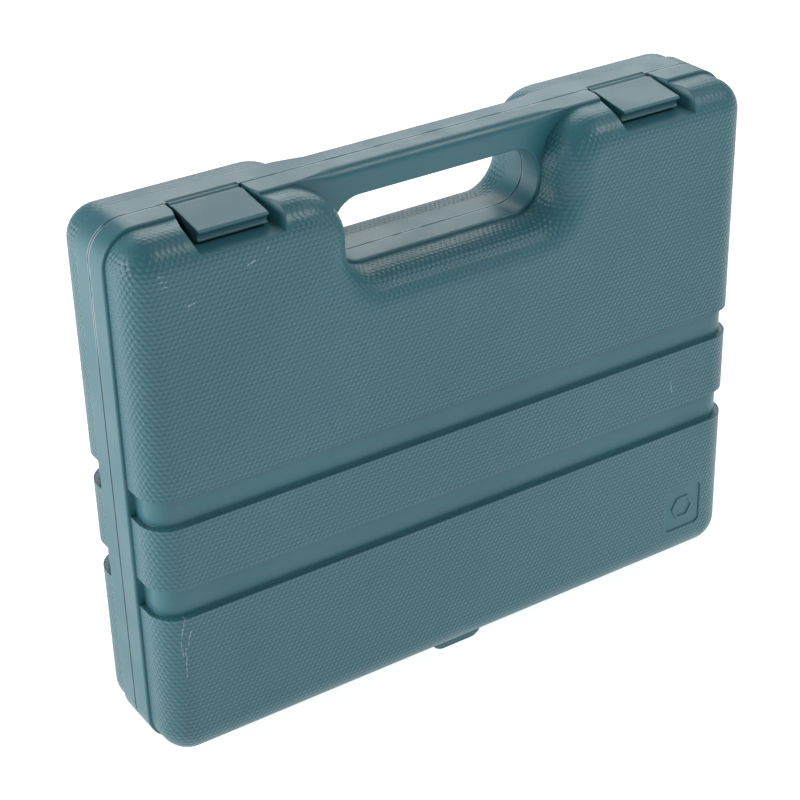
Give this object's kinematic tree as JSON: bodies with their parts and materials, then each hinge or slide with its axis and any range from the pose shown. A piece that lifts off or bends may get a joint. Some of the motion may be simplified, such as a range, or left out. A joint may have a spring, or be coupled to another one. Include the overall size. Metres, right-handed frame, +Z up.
{
  "type": "socket wrench set in case",
  "caption": "Blow-moulded carrying case with a handle and flap latches, holding a half-inch-drive socket set in a moulded tray.",
  "frame": {"origin": "on the surface the case stands on, in the parting plane between lid and base, midway across the case", "axes": "+X across the case to its right-hand latch, -Y out of the lid's face, +Y out of the base's face, +Z up towards the handle"},
  "size_m": [0.35, 0.073, 0.282],
  "materials": {
    "case": "teal blow-moulded plastic, fine raised bead grain on the body and smooth on the rim",
    "latch": "the same teal plastic, smooth, a little glossier from handling",
    "tray": "black moulded plastic, satin",
    "pin": "plain drawn steel wire",
    "chrome": "satin chrome plate with brighter turned bands",
    "steel": "turned and hardened steel",
    "black_steel": "blackened steel",
    "spring": "spring wire",
    "grip": "ribbed black rubber",
    "insert": "soft black rubber"
  },
  "bodies": {
    "base": {"base_shell": "case", "base_tray": "tray", "hinge_pins": "pin", "ratchet_body": "chrome", "ratchet_grip": "grip", "ratchet_cover": "steel", "cover_screws": "black_steel", "extension_long": "chrome", "extension_short": "chrome", "t_bar_rod": "chrome", "t_bar_stops": "steel", "yoke_drive": "chrome", "socket_32": "chrome", "socket_30": "chrome", "socket_27": "chrome", "socket_24": "chrome", "socket_22": "chrome", "socket_21": "chrome", "socket_20": "chrome", "socket_19": "chrome", "socket_18": "chrome", "socket_17": "chrome", "socket_16": "chrome", "socket_15": "chrome", "socket_14": "chrome", "socket_13": "chrome", "socket_12": "chrome", "socket_11": "chrome", "socket_10": "chrome", "plug_socket_21": "chrome", "plug_insert_21": "insert", "plug_socket_16": "chrome", "plug_insert_16": "insert"},
    "lid": {"lid_shell": "case", "lid_liner": "tray"},
    "left_latch": {"latch_left": "latch"},
    "right_latch": {"latch_right": "latch"},
    "drive": {"ratchet_gear": "steel", "button_spring": "spring"},
    "button": {"release_button": "steel"},
    "lever": {"ratchet_lever": "steel", "lever_plunger": "steel", "plunger_spring": "spring"},
    "pawl": {"ratchet_pawl": "steel"},
    "drive_ball": {"ratchet_ball": "steel"},
    "slider": {"t_bar_slider": "chrome"},
    "slider_ball": {"t_bar_ball": "steel"},
    "cross": {"cross_block": "steel", "cross_pins": "steel"},
    "socket_yoke": {"yoke_socket": "chrome"},
    "long_bar_ball": {"extension_long_ball": "steel"},
    "short_bar_ball": {"extension_short_ball": "steel"},
    "joint_ball": {"yoke_ball": "steel"}
  },
  "joints": [
    {"name": "lid_hinge", "type": "hinge", "parent": "base", "child": "lid", "pos_m": [0, 0, 0.0036], "axis": [1, 0, 0], "range_deg": [0, 180]},
    {"name": "left_latch_hinge", "type": "hinge", "parent": "base", "child": "left_latch", "pos_m": [-0.117, 0, 0.2804], "axis": [-1, 0, 0], "range_deg": [0, 120]},
    {"name": "right_latch_hinge", "type": "hinge", "parent": "base", "child": "right_latch", "pos_m": [0.117, 0, 0.2804], "axis": [-1, 0, 0], "range_deg": [0, 120]},
    {"name": "drive_spin", "type": "hinge", "parent": "base", "child": "drive", "pos_m": [-0.142, 0.003, 0.037], "axis": [0, 1, 0], "continuous": true},
    {"name": "lever_turn", "type": "hinge", "parent": "base", "child": "lever", "pos_m": [-0.118, 0.003, 0.037], "axis": [0, 1, 0], "range_deg": [-28, 28]},
    {"name": "pawl_rock", "type": "hinge", "parent": "base", "child": "pawl", "pos_m": [-0.142, 0.003, 0.037], "axis": [0, 1, 0], "range_deg": [-6, 6]},
    {"name": "button_press", "type": "slide", "parent": "drive", "child": "button", "axis": [0, 1, 0], "range_m": [0, 0.002], "stiffness_N_per_m": 400},
    {"name": "drive_ball_press", "type": "slide", "parent": "drive", "child": "drive_ball", "axis": [1, 0, 0], "range_m": [0, 0.0008], "stiffness_N_per_m": 300},
    {"name": "slider_travel", "type": "slide", "parent": "base", "child": "slider", "axis": [1, 0, 0], "range_m": [-0.098, 0.098]},
    {"name": "slider_ball_press", "type": "slide", "parent": "slider", "child": "slider_ball", "axis": [1, 0, 0], "range_m": [0, 0.0008], "stiffness_N_per_m": 300},
    {"name": "joint_swing_side", "type": "hinge", "parent": "base", "child": "cross", "pos_m": [0.127, 0, 0.056], "axis": [1, 0, 0], "range_deg": [-26, 26]},
    {"name": "joint_swing_across", "type": "hinge", "parent": "cross", "child": "socket_yoke", "pos_m": [0.127, 0, 0.056], "axis": [0, 1, 0], "range_deg": [-26, 26]},
    {"name": "long_bar_ball_press", "type": "slide", "parent": "base", "child": "long_bar_ball", "axis": [0, 1, 0], "range_m": [0, 0.0008], "stiffness_N_per_m": 300},
    {"name": "short_bar_ball_press", "type": "slide", "parent": "base", "child": "short_bar_ball", "axis": [0, 1, 0], "range_m": [0, 0.0008], "stiffness_N_per_m": 300},
    {"name": "joint_ball_press", "type": "slide", "parent": "base", "child": "joint_ball", "axis": [0, 1, 0], "range_m": [0, 0.0008], "stiffness_N_per_m": 300}
  ],
  "couplings": [
    {"joint": "pawl_rock", "follows": "lever_turn", "ratio": -0.21429}
  ]
}
